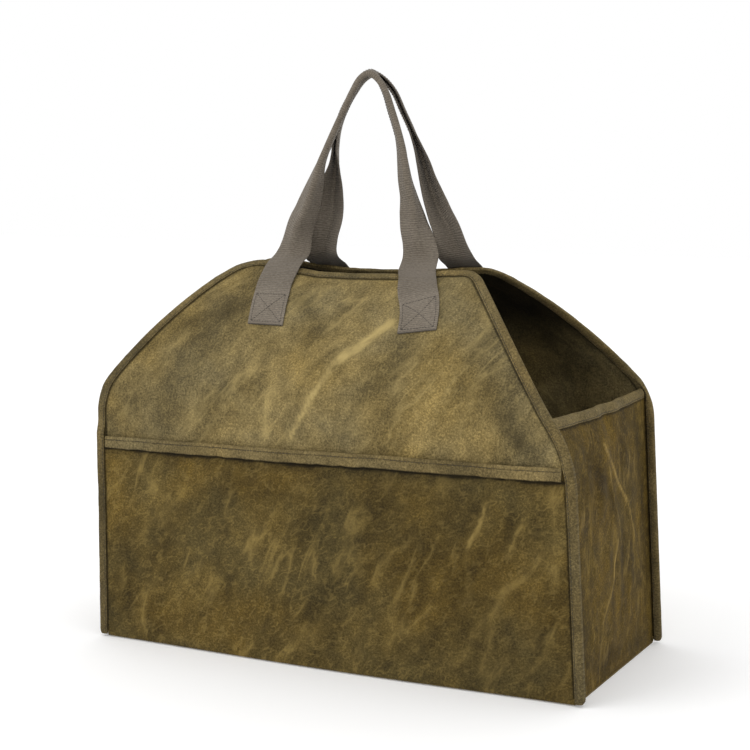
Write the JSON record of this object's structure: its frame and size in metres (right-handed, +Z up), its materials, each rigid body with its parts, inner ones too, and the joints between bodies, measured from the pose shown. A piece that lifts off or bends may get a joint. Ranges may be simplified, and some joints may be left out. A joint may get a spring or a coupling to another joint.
{
  "type": "canvas log carrier",
  "caption": "Open-topped waxed canvas log carrier with end panels, a full-width front pocket, taped edges and upright webbing carrying straps.",
  "frame": {"origin": "on the resting face, at the middle of the base between the corner seams", "axes": "+Z up through the straps, +X along the length to the right as seen from the pocket, -Y out of the pocket side"},
  "size_m": [0.592, 0.2784, 0.6463],
  "materials": {
    "canvas_body": "waxed cotton canvas, olive brown, mottled with lighter crease marks",
    "canvas_pocket": "waxed cotton canvas, olive brown, slightly darker",
    "canvas_end": "waxed cotton canvas, olive brown, creased upright",
    "edge_tape": "folded strips of the same waxed canvas, stitched",
    "webbing": "ribbed grey brown cotton webbing"
  },
  "bodies": {
    "root": {"body_sheet": "canvas_body", "pocket_panel": "canvas_pocket", "pocket_binding": "edge_tape", "gusset_left": "canvas_end", "gusset_right": "canvas_end", "gusset_binding_left": "edge_tape", "gusset_binding_right": "edge_tape", "edge_binding_front": "edge_tape", "edge_binding_back": "edge_tape", "handle_front": "webbing", "handle_back": "webbing"}
  },
  "joints": []
}
